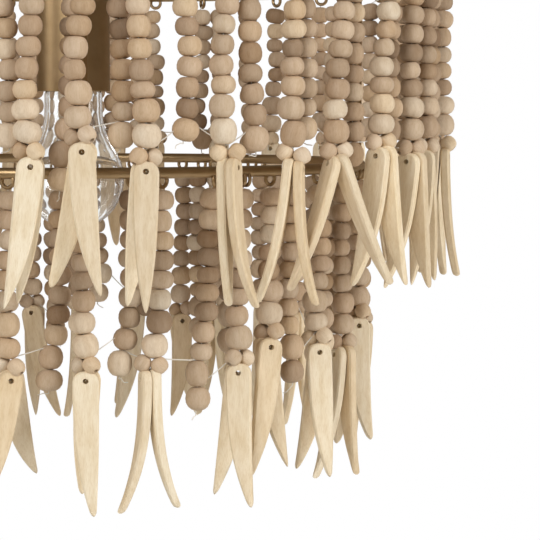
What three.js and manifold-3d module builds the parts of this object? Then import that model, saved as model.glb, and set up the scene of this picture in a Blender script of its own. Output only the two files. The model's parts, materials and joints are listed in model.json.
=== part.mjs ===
// Two-tier wood-bead chandelier with carved tusk pendants, hung on a rigid stem.
// Millimetres, Z up. The origin is on the ceiling, in the middle of the mounting strap's top face.

import * as THREE from "three";
import { mergeVertices } from "three/addons/utils/BufferGeometryUtils.js";
import Module from "manifold-3d";

const wasm = await Module();
wasm.setup();

// Whole fixture
const upperRadius = 216;
const lowerRadius = 169;
const upperRingDepth = 400;
const tierSpacing = 108;
const ringRod = 6;
const upperStrandCount = 36;
const lowerStrandCount = 30;
const strandsPerDrop = 3;
const spokeCount = 4;
const strandPhase = THREE.MathUtils.degToRad(1.7);

// Fits: the gap left between touching pieces, and how far a cutting tool runs past a face
const seatGap = 0.3;
const overrun = 1;

// Ceiling mount
const strapLength = 104;
const strapWidth = 20;
const strapThickness = 2.5;
const strapSlotLength = 14;
const strapSlotWidth = 5;
const strapSlotSpacing = 76;
const nippleDiameter = 10;
const nippleBore = 7;
const nippleInset = 0.5;
const nippleTail = 1.5;
const nutAcross = 17;
const nutHeight = 5;
const canopyDiameter = 130;
const canopyDepth = 26;
const canopyWall = 1.5;
const canopyShoulder = 16;
const collarDiameter = 24;
const collarHeight = 8;

// Hang-straight swivel
const bossDiameter = 26;
const bossHeight = 9;
const cheekThickness = 4;
const cheekRadius = 8;
const tongueThickness = 14;
const tongueRadius = 8;
const tongueRoom = 4;
const tongueNeck = 14;
const pinDiameter = 5;
const pinHeadDiameter = 9;
const pinHeadThickness = 2;
const knuckleDiameter = 20;
const knuckleHeight = 16;

// Stem and hub
const stemDiameter = 13;
const stemBore = 10;
const stemSeat = 12;
const couplerDiameter = 17;
const couplerHeight = 24;
const hubDiameter = 46;
const hubThickness = 16;
const hubNeckDiameter = 20;
const hubNeckHeight = 14;
const spokeDiameter = 6;
const spokeSeat = 11;
const strutDiameter = 5;

// Light
const sleeveDiameter = 43;
const sleeveWall = 1.2;
const sleeveLength = 56.7;
const socketNippleSeat = 9;
const socketDiameter = 36;
const socketLength = 46;
const socketBore = 27;
const socketFloor = 3;
const contactDiameter = 12;
const contactThickness = 1;
const bulbBelowRing = 38;
const bulbLength = 112;
const bulbDiameter = 60;
const bulbNeckDiameter = 34;
const bulbShoulderDiameter = 27;
const bulbShoulderHeight = 6;
const glassWall = 1;
const capDiameter = 26;
const capLength = 24;
const capTipDiameter = 10;
const capTipHeight = 2;
const capThreadPitch = 6;
const capThreadDepth = 1;
const filamentFlareDiameter = 18;
const filamentRodDiameter = 6;
const filamentRodLength = 34;

// Bead strands: each is threaded from the ring down to a pair of tusks
const threadDiameter = 2;
const threadLength = 6;
const beadDiameter = 12.6;
const beadHeight = 10.3;
const beadCount = 6;
const largeBeadDiameter = 14.4;
const largeBeadHeight = 12;
const largeBeadCount = 2;
const smallBeadDiameter = 10;
const smallBeadHeight = 8.6;
const beadFlatShare = 0.55;
const ringSeatGap = 0.7;
const tieDiameter = 1.2;
const tieLevelShare = 0.35;

// Tusk pendants
const tuskLength = 76;
const tuskWidth = 13.5;
const tuskThickness = 4.8;
const tuskSink = 0.6;
const faceTuskBow = 7.5;
const edgeTuskBow = 13;
const faceTuskSplay = THREE.MathUtils.degToRad(5);
const edgeTuskSplay = THREE.MathUtils.degToRad(2.5);
const tuskTopWidthShare = 0.84;
const tuskMiddleWidthShare = 0.94;
const tuskMiddleShare = 0.6;

// Facet counts
const tubeSides = 12;
const turnedSides = 16;
const bulbSides = 12;
const neckSides = 3;
const beadSides = 4;
const nutSides = 6;
const ringSides = 5;
const spokeSides = 8;
const arcSteps = 3;

// Levels, from the ceiling down
const strapNutTop = -strapThickness - seatGap;
const collarTop = -canopyDepth - seatGap;
const forkTop = collarTop - collarHeight - seatGap;
const bossBottom = forkTop - bossHeight;
const swivelNutTop = bossBottom - seatGap;
const nippleBottom = swivelNutTop - nutHeight - nippleTail;
const pinLevel = nippleBottom - tongueRoom - tongueRadius;
const knuckleTop = pinLevel - tongueNeck;
const knuckleBottom = knuckleTop - knuckleHeight;
const upperRingLevel = -upperRingDepth;
const lowerRingLevel = upperRingLevel - tierSpacing;
const hubTop = upperRingLevel + hubThickness / 2;
const hubBottom = upperRingLevel - hubThickness / 2;
const hubNeckTop = hubTop + hubNeckHeight;
const couplerMiddle = (knuckleBottom + hubNeckTop) / 2;
const sleeveTop = hubBottom - seatGap;
const socketTop = sleeveTop - sleeveWall - seatGap;
const socketBottom = socketTop - socketLength;
const bulbBottom = lowerRingLevel - bulbBelowRing;
const capTop = bulbBottom + bulbLength;
const capBottom = capTop - capTipHeight - capLength;
const socketFloorLevel = capTop + contactThickness + 2 * seatGap;

// Finishes
const brass = new THREE.MeshStandardMaterial({ color: 0x9c8358, roughness: 0.36, metalness: 1 });
const steel = new THREE.MeshStandardMaterial({ color: 0xa9a9a6, roughness: 0.45, metalness: 1 });
const porcelain = new THREE.MeshStandardMaterial({ color: 0xe8e4da, roughness: 0.3 });
const glass = new THREE.MeshStandardMaterial({
  color: 0xf4f6f6,
  roughness: 0.05,
  transparent: true,
  opacity: 0.35,
});
const wood = new THREE.MeshStandardMaterial({ color: 0xd2bb98, roughness: 0.78 });

const assembly = new THREE.Group();
assembly.name = "beaded_chandelier";

function addPiece(name, geometry, material, parent = assembly) {
  const piece = new THREE.Mesh(geometry, material.clone());
  piece.name = name;
  parent.add(piece);
  return piece;
}

// Solids

function solidOf(geometry) {
  const bare = geometry.clone();
  bare.deleteAttribute("normal");
  bare.deleteAttribute("uv");
  const merged = mergeVertices(bare);
  const mesh = new wasm.Mesh({
    numProp: 3,
    vertProperties: new Float32Array(merged.attributes.position.array),
    triVerts: new Uint32Array(merged.index.array),
  });
  return new wasm.Manifold(mesh);
}

function geometryOf(solid) {
  const mesh = solid.getMesh();
  const geometry = new THREE.BufferGeometry();
  geometry.setAttribute("position", new THREE.BufferAttribute(mesh.vertProperties, mesh.numProp));
  geometry.setIndex(new THREE.BufferAttribute(mesh.triVerts, 1));
  geometry.computeVertexNormals();
  return geometry;
}

function cut(body, ...tools) {
  return geometryOf(tools.reduce((rest, tool) => rest.subtract(solidOf(tool)), solidOf(body)));
}

function join(...geometries) {
  return geometryOf(geometries.map(solidOf).reduce((whole, part) => whole.add(part)));
}

// A turned solid about Z. Each profile entry is [radius, level], listed from the bottom up the
// outside; a tube's profile comes back down its bore.
function turned(profile, sides = turnedSides) {
  const points = profile.map(([radius, level]) => new THREE.Vector2(radius, level));
  return new THREE.LatheGeometry(points, sides).rotateX(Math.PI / 2);
}

function rod(diameter, bottom, top, sides = tubeSides) {
  return new THREE.CylinderGeometry(diameter / 2, diameter / 2, top - bottom, sides)
    .rotateX(Math.PI / 2)
    .translate(0, 0, (bottom + top) / 2);
}

function tube(diameter, bore, bottom, top, sides = tubeSides) {
  return turned(
    [
      [bore / 2, bottom],
      [diameter / 2, bottom],
      [diameter / 2, top],
      [bore / 2, top],
      [bore / 2, bottom],
    ],
    sides,
  );
}

// A closed solid through level rings of points, from the top ring down, each run anticlockwise as
// seen from above. Neighbouring rings may differ in their count of points, and one point is a tip.
function loft(rings) {
  const faces = [];
  let start = 0;
  for (let index = 2; index < rings[0].length; index += 1) {
    faces.push(0, index - 1, index);
  }
  for (let level = 1; level < rings.length; level += 1) {
    const upperCount = rings[level - 1].length;
    const lowerCount = rings[level].length;
    const lowerStart = start + upperCount;
    let upper = 0;
    let lower = 0;
    while (upper < upperCount || lower < lowerCount) {
      const upperPoint = start + (upper % upperCount);
      const lowerPoint = lowerStart + (lower % lowerCount);
      const upperTurn = (upper + 1) / upperCount;
      const lowerTurn = (lower + 1) / lowerCount;
      if (lowerCount === 1 || upperTurn <= lowerTurn) {
        upper += 1;
        faces.push(upperPoint, lowerPoint, start + (upper % upperCount));
      } else {
        lower += 1;
        faces.push(upperPoint, lowerPoint, lowerStart + (lower % lowerCount));
      }
      if (lowerCount === 1 && upper === upperCount) {
        lower = lowerCount;
      }
    }
    start = lowerStart;
  }
  const last = rings[rings.length - 1].length;
  for (let index = 2; index < last; index += 1) {
    faces.push(start, start + index, start + index - 1);
  }
  const geometry = new THREE.BufferGeometry().setFromPoints(rings.flat());
  geometry.setIndex(faces);
  return geometry;
}

function hexNut(across, bore, top) {
  const bottom = top - nutHeight;
  const blank = rod(across, bottom, top, nutSides);
  return cut(blank, rod(bore, bottom - overrun, top + overrun));
}

function slot(length, width, height, centre) {
  const straight = (length - width) / 2;
  const outline = new THREE.Shape();
  outline.absarc(straight, 0, width / 2, -Math.PI / 2, Math.PI / 2);
  outline.absarc(-straight, 0, width / 2, Math.PI / 2, (3 * Math.PI) / 2);
  const block = new THREE.ExtrudeGeometry(outline, {
    depth: height,
    bevelEnabled: false,
    curveSegments: arcSteps,
  });
  return block.translate(centre, 0, -height / 2);
}

// A plate in the YZ plane with one round end about the pin, square above or below it.
function lug(radius, thickness, reach) {
  const outline = new THREE.Shape();
  const end = Math.sign(reach);
  outline.moveTo(-radius, reach);
  outline.lineTo(-radius, 0);
  outline.absarc(0, 0, radius, Math.PI, 0, end < 0);
  outline.lineTo(radius, reach);
  outline.closePath();
  const plate = new THREE.ExtrudeGeometry(outline, {
    depth: thickness,
    bevelEnabled: false,
    curveSegments: 2 * arcSteps,
  });
  return plate.translate(0, 0, -thickness / 2).rotateY(Math.PI / 2).rotateX(Math.PI / 2);
}

// Ceiling mount

function mountingStrap() {
  const plate = new THREE.BoxGeometry(strapLength, strapWidth, strapThickness);
  const cutHeight = strapThickness + 2 * overrun;
  const centreHole = rod(nippleDiameter + 2 * seatGap, -cutHeight / 2, cutHeight / 2);
  const slots = [-1, 1].map((side) =>
    slot(strapSlotLength, strapSlotWidth, cutHeight, (side * strapSlotSpacing) / 2),
  );
  return cut(plate, centreHole, ...slots).translate(0, 0, -strapThickness / 2);
}

function canopyCup() {
  const holeRadius = nippleDiameter / 2 + seatGap;
  const rimRadius = canopyDiameter / 2;
  const shoulderAt = rimRadius - canopyShoulder;
  const profile = [[holeRadius, -canopyDepth]];
  for (let step = 0; step <= arcSteps; step += 1) {
    const angle = (step / arcSteps) * (Math.PI / 2);
    profile.push([
      shoulderAt + canopyShoulder * Math.sin(angle),
      -canopyDepth + canopyShoulder * (1 - Math.cos(angle)),
    ]);
  }
  profile.push([rimRadius, 0]);
  profile.push([rimRadius - canopyWall, 0]);
  const innerShoulder = canopyShoulder - canopyWall;
  for (let step = arcSteps; step >= 0; step -= 1) {
    const angle = (step / arcSteps) * (Math.PI / 2);
    profile.push([
      shoulderAt + innerShoulder * Math.sin(angle),
      -canopyDepth + canopyWall + innerShoulder * (1 - Math.cos(angle)),
    ]);
  }
  profile.push([holeRadius, -canopyDepth + canopyWall]);
  profile.push([holeRadius, -canopyDepth]);
  return turned(profile);
}

const nippleHole = nippleDiameter + 2 * seatGap;
addPiece("mounting_strap", mountingStrap(), steel);
addPiece("threaded_nipple", tube(nippleDiameter, nippleBore, nippleBottom, -nippleInset), brass);
addPiece("strap_nut", hexNut(nutAcross, nippleHole, strapNutTop), steel);
addPiece("canopy", canopyCup(), brass);
addPiece(
  "canopy_collar",
  tube(collarDiameter, nippleHole, collarTop - collarHeight, collarTop, turnedSides),
  brass,
);

// Hang-straight swivel: a fork that turns on the nipple, with a pin that the stem tilts on

const forkSlot = tongueThickness + 2 * seatGap;
const pinSpan = forkSlot + 2 * cheekThickness;

function swivelFork() {
  const cheekOffset = (forkSlot + cheekThickness) / 2;
  const cheeks = [-1, 1].map((side) =>
    lug(cheekRadius, cheekThickness, bossBottom - pinLevel + overrun).translate(
      side * cheekOffset,
      0,
      pinLevel,
    ),
  );
  const body = join(rod(bossDiameter, bossBottom, forkTop, turnedSides), ...cheeks);
  const nippleCut = rod(nippleHole, bossBottom - overrun, forkTop + overrun);
  const pinCut = rod(pinDiameter + 2 * seatGap, -pinSpan, pinSpan)
    .rotateY(Math.PI / 2)
    .translate(0, 0, pinLevel);
  return cut(body, nippleCut, pinCut);
}

function swivelPin() {
  const half = pinSpan / 2 + seatGap;
  const tip = half + pinHeadThickness;
  const profile = [
    [0, -tip],
    [pinHeadDiameter / 2, -tip],
    [pinHeadDiameter / 2, -half],
    [pinDiameter / 2, -half],
    [pinDiameter / 2, half],
    [pinHeadDiameter / 2, half],
    [pinHeadDiameter / 2, tip],
    [0, tip],
  ];
  return turned(profile, tubeSides).rotateY(Math.PI / 2).translate(0, 0, pinLevel);
}

function stemKnuckle() {
  const tongue = lug(tongueRadius, tongueThickness, -tongueNeck - overrun).translate(0, 0, pinLevel);
  const collar = rod(knuckleDiameter, knuckleBottom, knuckleTop, turnedSides);
  const seat = rod(
    stemDiameter + 2 * seatGap,
    knuckleBottom - overrun,
    knuckleBottom + stemSeat + seatGap,
  );
  const pinCut = rod(pinDiameter + 2 * seatGap, -pinSpan, pinSpan)
    .rotateY(Math.PI / 2)
    .translate(0, 0, pinLevel);
  return cut(join(tongue, collar), seat, pinCut);
}

addPiece("swivel_nut", hexNut(tongueThickness, nippleHole, swivelNutTop), brass);
addPiece("swivel_fork", swivelFork(), brass);
addPiece("swivel_pin", swivelPin(), brass);
addPiece("stem_knuckle", stemKnuckle(), brass);

// Stem

addPiece(
  "upper_stem",
  tube(stemDiameter, stemBore, couplerMiddle + seatGap / 2, knuckleBottom + stemSeat),
  brass,
);
addPiece(
  "stem_coupler",
  tube(
    couplerDiameter,
    stemDiameter + 2 * seatGap,
    couplerMiddle - couplerHeight / 2,
    couplerMiddle + couplerHeight / 2,
  ),
  brass,
);
addPiece(
  "lower_stem",
  tube(stemDiameter, stemBore, hubNeckTop - stemSeat, couplerMiddle - seatGap / 2),
  brass,
);

// Frame: a hub with four spokes to the upper ring, and four struts down to the lower ring

const hubRadius = hubDiameter / 2;
const spokeInnerEnd = hubRadius - spokeSeat;
const spokeOuterEnd = upperRadius - ringRod / 2 - seatGap;

function spokeAngle(index) {
  return strandPhase + (index / spokeCount) * 2 * Math.PI;
}

// Turns a rod that stands on Z so that it lies along the given heading, measured from -Y to +X.
function laidOut(geometry, angle) {
  return geometry.rotateX(Math.PI / 2).rotateZ(angle);
}

function hubBody() {
  const body = join(
    rod(hubDiameter, hubBottom, hubTop, turnedSides),
    rod(hubNeckDiameter, hubTop - overrun, hubNeckTop, turnedSides),
  );
  const stemCut = rod(
    stemDiameter + 2 * seatGap,
    hubNeckTop - stemSeat - seatGap,
    hubNeckTop + overrun,
  );
  const nippleCut = rod(nippleHole, hubBottom - overrun, hubBottom + socketNippleSeat + seatGap);
  const spokeCuts = [];
  for (let index = 0; index < spokeCount; index += 1) {
    const bore = rod(
      spokeDiameter + 2 * seatGap,
      spokeInnerEnd - seatGap,
      hubRadius + overrun,
      spokeSides,
    );
    spokeCuts.push(laidOut(bore, spokeAngle(index)).translate(0, 0, upperRingLevel));
  }
  return cut(body, stemCut, nippleCut, ...spokeCuts);
}

function ring(radius, strandCount) {
  return new THREE.TorusGeometry(radius, ringRod / 2, ringSides, strandCount);
}

addPiece("hub", hubBody(), brass);
const sideNames = ["front", "right", "back", "left"];
sideNames.forEach((side, index) => {
  const spoke = laidOut(
    rod(spokeDiameter, spokeInnerEnd, spokeOuterEnd, spokeSides),
    spokeAngle(index),
  );
  addPiece(`spoke_${side}`, spoke, brass).position.z = upperRingLevel;
  const strut = addPiece(
    `strut_${side}`,
    rod(
      strutDiameter,
      lowerRingLevel + ringRod / 2 + seatGap,
      upperRingLevel - spokeDiameter / 2 - seatGap,
      spokeSides,
    ),
    brass,
  );
  strut.position.x = lowerRadius * Math.sin(spokeAngle(index));
  strut.position.y = -lowerRadius * Math.cos(spokeAngle(index));
});
for (const [name, radius, count, level] of [
  ["upper_ring", upperRadius, upperStrandCount, upperRingLevel],
  ["lower_ring", lowerRadius, lowerStrandCount, lowerRingLevel],
]) {
  const piece = addPiece(name, ring(radius, count), brass);
  piece.rotation.z = strandPhase - Math.PI / 2;
  piece.position.z = level;
}

// Light

function socketSleeve() {
  const outer = sleeveDiameter / 2;
  const inner = outer - sleeveWall;
  const hole = nippleHole / 2;
  const bottom = sleeveTop - sleeveLength;
  return turned([
    [inner, bottom],
    [outer, bottom],
    [outer, sleeveTop],
    [hole, sleeveTop],
    [hole, sleeveTop - sleeveWall],
    [inner, sleeveTop - sleeveWall],
    [inner, bottom],
  ]);
}

function lampSocket() {
  const outer = socketDiameter / 2;
  const inner = socketBore / 2;
  const hole = nippleHole / 2;
  const wire = nippleBore / 2;
  const seatLevel = socketFloorLevel + socketFloor;
  return turned([
    [inner, socketBottom],
    [outer, socketBottom],
    [outer, socketTop],
    [hole, socketTop],
    [hole, seatLevel],
    [wire, seatLevel],
    [wire, socketFloorLevel],
    [inner, socketFloorLevel],
    [inner, socketBottom],
  ]);
}

function bulbCap() {
  const crest = capDiameter / 2;
  const profile = [[0, capBottom]];
  const turns = Math.round(capLength / capThreadPitch);
  profile.push([crest, capBottom]);
  for (let turn = 0; turn < turns; turn += 1) {
    profile.push([crest - capThreadDepth, capBottom + ((turn + 0.5) * capLength) / turns]);
    profile.push([crest, capBottom + ((turn + 1) * capLength) / turns]);
  }
  profile.push([capTipDiameter / 2, capTop]);
  profile.push([0, capTop]);
  return turned(profile, tubeSides);
}

// The bulb's wall: a ball that runs up into the neck on one smooth curve.
function bulbOutline(inset) {
  const radius = bulbDiameter / 2 - inset;
  const centre = bulbBottom + bulbDiameter / 2;
  const shoulderTop = capBottom - seatGap;
  const neckTop = shoulderTop - bulbShoulderHeight;
  const leave = Math.PI / 6;
  const leaveRadius = radius * Math.cos(leave);
  const leaveLevel = centre + radius * Math.sin(leave);
  const neckRadius = bulbNeckDiameter / 2 - inset;
  const reach = (neckTop - leaveLevel) / 2;
  const neck = new THREE.CubicBezierCurve(
    new THREE.Vector2(leaveRadius, leaveLevel),
    new THREE.Vector2(leaveRadius - reach * Math.sin(leave), leaveLevel + reach * Math.cos(leave)),
    new THREE.Vector2(neckRadius, neckTop - reach),
    new THREE.Vector2(neckRadius, neckTop),
  );
  const outline = [];
  const ballSteps = 2 * arcSteps;
  for (let step = 0; step < ballSteps; step += 1) {
    const angle = -Math.PI / 2 + (step / ballSteps) * (leave + Math.PI / 2);
    outline.push([radius * Math.cos(angle), centre + radius * Math.sin(angle)]);
  }
  neck.getPoints(arcSteps).forEach((point) => outline.push([point.x, point.y]));
  outline.push([bulbShoulderDiameter / 2 - inset, shoulderTop]);
  outline[0][0] = 0;
  return outline;
}

function bulbGlass() {
  return turned([...bulbOutline(0), ...bulbOutline(glassWall).reverse()], bulbSides);
}

function filamentMount() {
  const top = capBottom - 2 * seatGap;
  const flare = filamentFlareDiameter / 2;
  const rodRadius = filamentRodDiameter / 2;
  return turned(
    [
      [0, top - filamentRodLength],
      [rodRadius, top - filamentRodLength],
      [rodRadius, top - flare],
      [flare, top],
      [0, top],
    ],
    tubeSides,
  );
}

addPiece("socket_sleeve", socketSleeve(), brass);
addPiece(
  "socket_nipple",
  tube(
    nippleDiameter,
    nippleBore,
    socketFloorLevel + socketFloor + seatGap,
    hubBottom + socketNippleSeat,
  ),
  brass,
);
addPiece("lamp_socket", lampSocket(), porcelain);
addPiece(
  "socket_contact",
  rod(contactDiameter, socketFloorLevel - seatGap - contactThickness, socketFloorLevel - seatGap),
  brass,
);
addPiece("bulb_cap", bulbCap(), brass);
addPiece("bulb_glass", bulbGlass(), glass);
addPiece("filament_mount", filamentMount(), glass);

// Bead drops. In a drop's own frame the origin is the middle of the ring rod, X runs along the
// ring, -Y points outward and the tier's axis stands at +Y.

const strandTop = -ringRod / 2 - ringSeatGap;
const beadTop = strandTop - threadLength;
const largeBeadTop = beadTop - beadCount * beadHeight;
const smallBeadTop = largeBeadTop - largeBeadCount * largeBeadHeight;
const smallBeadBottom = smallBeadTop - smallBeadHeight;
const tuskTop = smallBeadBottom + tuskSink;
const tieLevel = largeBeadTop - largeBeadHeight * tieLevelShare;

function roundRing(diameter, level, sides) {
  const ring = [];
  for (let side = 0; side < sides; side += 1) {
    const angle = (side / sides) * 2 * Math.PI;
    ring.push(
      new THREE.Vector3((diameter / 2) * Math.cos(angle), (diameter / 2) * Math.sin(angle), level),
    );
  }
  return ring;
}

function beadRun(diameter, height, count, top) {
  const run = [];
  for (let index = 0; index < count; index += 1) {
    run.push(roundRing(diameter * beadFlatShare, top - index * height, neckSides));
    run.push(roundRing(diameter, top - (index + 0.5) * height, beadSides));
  }
  return run;
}

function beadStrand() {
  return loft([
    roundRing(threadDiameter, strandTop, neckSides),
    ...beadRun(beadDiameter, beadHeight, beadCount, beadTop),
    ...beadRun(largeBeadDiameter, largeBeadHeight, largeBeadCount, largeBeadTop),
    ...beadRun(smallBeadDiameter, smallBeadHeight, 1, smallBeadTop),
    roundRing(smallBeadDiameter * beadFlatShare, smallBeadBottom, neckSides),
  ]);
}

// One tusk, hung from its top: a flat blade that keeps its width past the middle, then runs to a
// point and bends to -Y.
function tusk(bow) {
  const station = (downShare, widthShare) => {
    const halfWidth = (tuskWidth * widthShare) / 2;
    const middle = -bow * downShare * downShare;
    const front = middle - tuskThickness / 2;
    const back = middle + tuskThickness / 2;
    const level = -tuskLength * downShare;
    return [
      new THREE.Vector3(-halfWidth, front, level),
      new THREE.Vector3(halfWidth, front, level),
      new THREE.Vector3(halfWidth, back, level),
      new THREE.Vector3(-halfWidth, back, level),
    ];
  };
  return loft([
    station(0, tuskTopWidthShare),
    station(tuskMiddleShare, tuskMiddleWidthShare),
    [new THREE.Vector3(0, -bow, -tuskLength)],
  ]);
}

// A pair of tusks, back to back and curving apart: either flat to the outside and crossed, or edge
// to the outside.
function tuskPair(faceOut) {
  const offset = tuskThickness / 2 + seatGap;
  return [0, 1].map((side) => {
    const blade = tusk(faceOut ? faceTuskBow : edgeTuskBow);
    if (faceOut) {
      blade.rotateY(faceTuskSplay);
    } else {
      blade.rotateX(-edgeTuskSplay);
    }
    blade.translate(0, -offset, 0);
    blade.rotateZ(side * Math.PI + (faceOut ? 0 : Math.PI / 2));
    return blade.translate(0, 0, tuskTop);
  });
}

function tieLine(radius, pitch) {
  const places = [-1, 0, 1].map(
    (step) =>
      new THREE.Vector3(
        radius * Math.sin(step * pitch),
        radius * (1 - Math.cos(step * pitch)),
        tieLevel,
      ),
  );
  const corners = [0, 1, 2].map((corner) =>
    new THREE.Vector2(tieDiameter / 2, 0).rotateAround(new THREE.Vector2(), (corner * 2 * Math.PI) / 3),
  );
  return new THREE.ExtrudeGeometry(new THREE.Shape(corners), {
    steps: 2,
    extrudePath: new THREE.CatmullRomCurve3(places),
  });
}

function beadDrop(radius, pitch) {
  const pieces = [tieLine(radius, pitch)];
  for (const step of [-1, 0, 1]) {
    const angle = step * pitch;
    for (const geometry of [beadStrand(), ...tuskPair(step !== 0)]) {
      geometry.rotateZ(angle);
      geometry.translate(radius * Math.sin(angle), radius * (1 - Math.cos(angle)), 0);
      pieces.push(geometry);
    }
  }
  return join(...pieces);
}

function addTier(name, radius, level, strandCount) {
  const pitch = (2 * Math.PI) / strandCount;
  const dropCount = strandCount / strandsPerDrop;
  const geometry = beadDrop(radius, pitch);
  for (let index = 0; index < dropCount; index += 1) {
    const angle = strandPhase + (index * strandsPerDrop + 1) * pitch;
    const drop = addPiece(`${name}_drop_${String(index + 1).padStart(2, "0")}`, geometry.clone(), wood);
    drop.position.set(radius * Math.sin(angle), -radius * Math.cos(angle), level);
    drop.rotation.z = angle;
  }
}

addTier("upper", upperRadius, upperRingLevel, upperStrandCount);
addTier("lower", lowerRadius, lowerRingLevel, lowerStrandCount);

export default assembly;
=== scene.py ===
"""Dresses the two-tier beaded chandelier: wood beads, carved tusks, nylon line, brass and glass."""

import json
import random
from collections import namedtuple
from math import atan, atan2, copysign, cos, degrees, hypot, pi, radians, sin, sqrt

import bpy
import numpy as np
from mathutils import Matrix, Vector


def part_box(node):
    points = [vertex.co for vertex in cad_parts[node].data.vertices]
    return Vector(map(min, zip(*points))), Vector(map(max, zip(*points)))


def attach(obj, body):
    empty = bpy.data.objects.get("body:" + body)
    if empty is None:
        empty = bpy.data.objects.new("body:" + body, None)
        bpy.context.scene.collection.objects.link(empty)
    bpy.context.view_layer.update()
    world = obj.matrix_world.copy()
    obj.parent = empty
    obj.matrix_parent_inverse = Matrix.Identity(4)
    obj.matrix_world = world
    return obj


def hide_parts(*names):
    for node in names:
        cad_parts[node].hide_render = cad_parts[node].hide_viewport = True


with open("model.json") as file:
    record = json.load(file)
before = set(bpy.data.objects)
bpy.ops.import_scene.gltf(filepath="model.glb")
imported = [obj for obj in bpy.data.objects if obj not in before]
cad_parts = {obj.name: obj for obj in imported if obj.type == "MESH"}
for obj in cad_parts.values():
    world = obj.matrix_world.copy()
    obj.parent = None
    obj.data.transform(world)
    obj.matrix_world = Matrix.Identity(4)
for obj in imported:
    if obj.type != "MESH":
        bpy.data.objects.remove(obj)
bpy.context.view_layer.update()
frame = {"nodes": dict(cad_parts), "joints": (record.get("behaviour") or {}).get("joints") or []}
random.seed(7)

MM = 0.001
TURN = 2 * pi

# Photograph: its width, and the pixel column of the fixture's axis and row of the horizon
PHOTO_PIXELS = 540
FOCAL_PIXELS = 2212
AXIS_COLUMN = 74
HORIZON_ROW = 104
CAMERA_DISTANCE = 1310 * MM
CAMERA_OVER_LOWER_RING = 35.6 * MM
SENSOR_WIDTH = 36

# Rings and eyelets
ROD = 6 * MM
EYELET_OUTER = 8.8 * MM
EYELET_WIRE = 2.1 * MM
EYELET_SINK = 3.4 * MM
EYELET_TWIST = 70
EYELET_STEPS = 20
EYELET_SIDES = 8
RING_STEPS = 144
RING_SIDES = 16
ROD_SIDES = 24
ROD_EDGE = 0.3 * MM

# The eyelet's centre, and the line that hangs in it, lie this far below the ring's centre
LINE_OVER_WIRE = 0.3 * MM
EYELET_HANG = ROD / 2 + EYELET_OUTER / 2 - EYELET_SINK
EYELET_HOOK = EYELET_HANG + EYELET_OUTER / 2 - EYELET_WIRE - LINE_OVER_WIRE

# Beads, as (diameter, height, share of the diameter that is flat at each end)
BEAD = (12.5 * MM, 10.2 * MM, 0.38)
LARGE_BEAD = (14.2 * MM, 12 * MM, 0.36)
END_BEAD = (13.6 * MM, 12.8 * MM, 0.24)
SMALL_BEAD = (9.2 * MM, 8.6 * MM, 0.3)
BEAD_HOLE = 2.8 * MM
BEAD_DIMPLE = 0.35 * MM
BEAD_BELLY_POWER = 0.94
BEAD_START = 9 * MM
BEAD_SIDES = 20
BEAD_STEPS = 8

# How beads differ: spread, least and most share of their height and width, how oval they are,
# how closely they sit, and how far they stand off the line and tilt on it, in degrees
BEAD_HEIGHT_SHARES = (0.06, 0.88, 1.12)
BEAD_WIDTH_SHARES = (0.045, 0.9, 1.06)
BEAD_OVAL_SHARES = (0.96, 1.02)
BEAD_FILL_SHARE = 0.985
BEAD_SHIFT = 0.45 * MM
BEAD_TILT = 9

# Tusks
TUSK_LENGTH = 76 * MM
TUSK_WIDTH = 13.6 * MM
TUSK_THICKNESS = 4.8 * MM
TUSK_HOLE = 3 * MM
TUSK_HOLE_DEPTH = 5 * MM
TUSK_BEVEL = 0.8 * MM
TUSK_RIDGE = 0.25 * MM
TUSK_CURL = 3 * MM
TUSK_TIP_ROUND = 3.2 * MM
TUSK_SLIP = 1.3 * MM
TUSK_TAPER_POWERS = (3, 1.1)
TUSK_CROWN_POWER = 2.3
TUSK_CURL_POWER = 3
TUSK_BOW_POWER = 2.8
TUSK_THINNING_SHARE = 0.15
TUSK_TIP_LEAST_SHARE = 0.06
TUSK_FLAT_LEAST_SHARE = 0.6
TUSK_COLLAR_SHARE = 0.45
TUSK_ROWS = 20
TUSK_CROWN_POINTS = 11

# Nylon line, the loop of it over the tusks, and the share of their height that small beads take
LINE = 0.65 * MM
LINE_SIDES = 6
LOOP_DROP = TUSK_HOLE_DEPTH - 0.6 * MM
SMALL_PAIR_SHARE = 0.84

# Stage: the floor's place in metres, how white it is where it is seen, and where it fades
FLOOR_LEVEL = -1.5
FLOOR_RADIUS = 3.6
FLOOR_WHITE_SHARE = 0.92
FADE_SHARES = (0.5, 0.95)
ROOM_LIGHT = 0.19
ROOM_COLOUR = (1, 0.85, 0.68)
# Lamps: name, place in metres, size, power in watts, whether metal and glass mirror it
LAMPS = (
    ("key", (-0.9, -2, 0.5), 1.2, 27.3, True),
    ("fill", (2.1, -1.3, -0.1), 1.4, 37, False),
    ("side", (-2.1, -0.5, -0.3), 1, 9, True),
    ("back", (0.5, 2.1, 0.4), 1.4, 24, False),
)

TIERS = ("upper", "lower")
STRANDS_PER_DROP = 3
SMOOTH_ANGLE = radians(38)
GRAIN_SHIFT = 60
EASE_MOST_SHARE = 0.4


# Meshes


def add_object(name, data):
    made = bpy.data.objects.new(name, data)
    bpy.context.scene.collection.objects.link(made)
    return made


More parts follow.
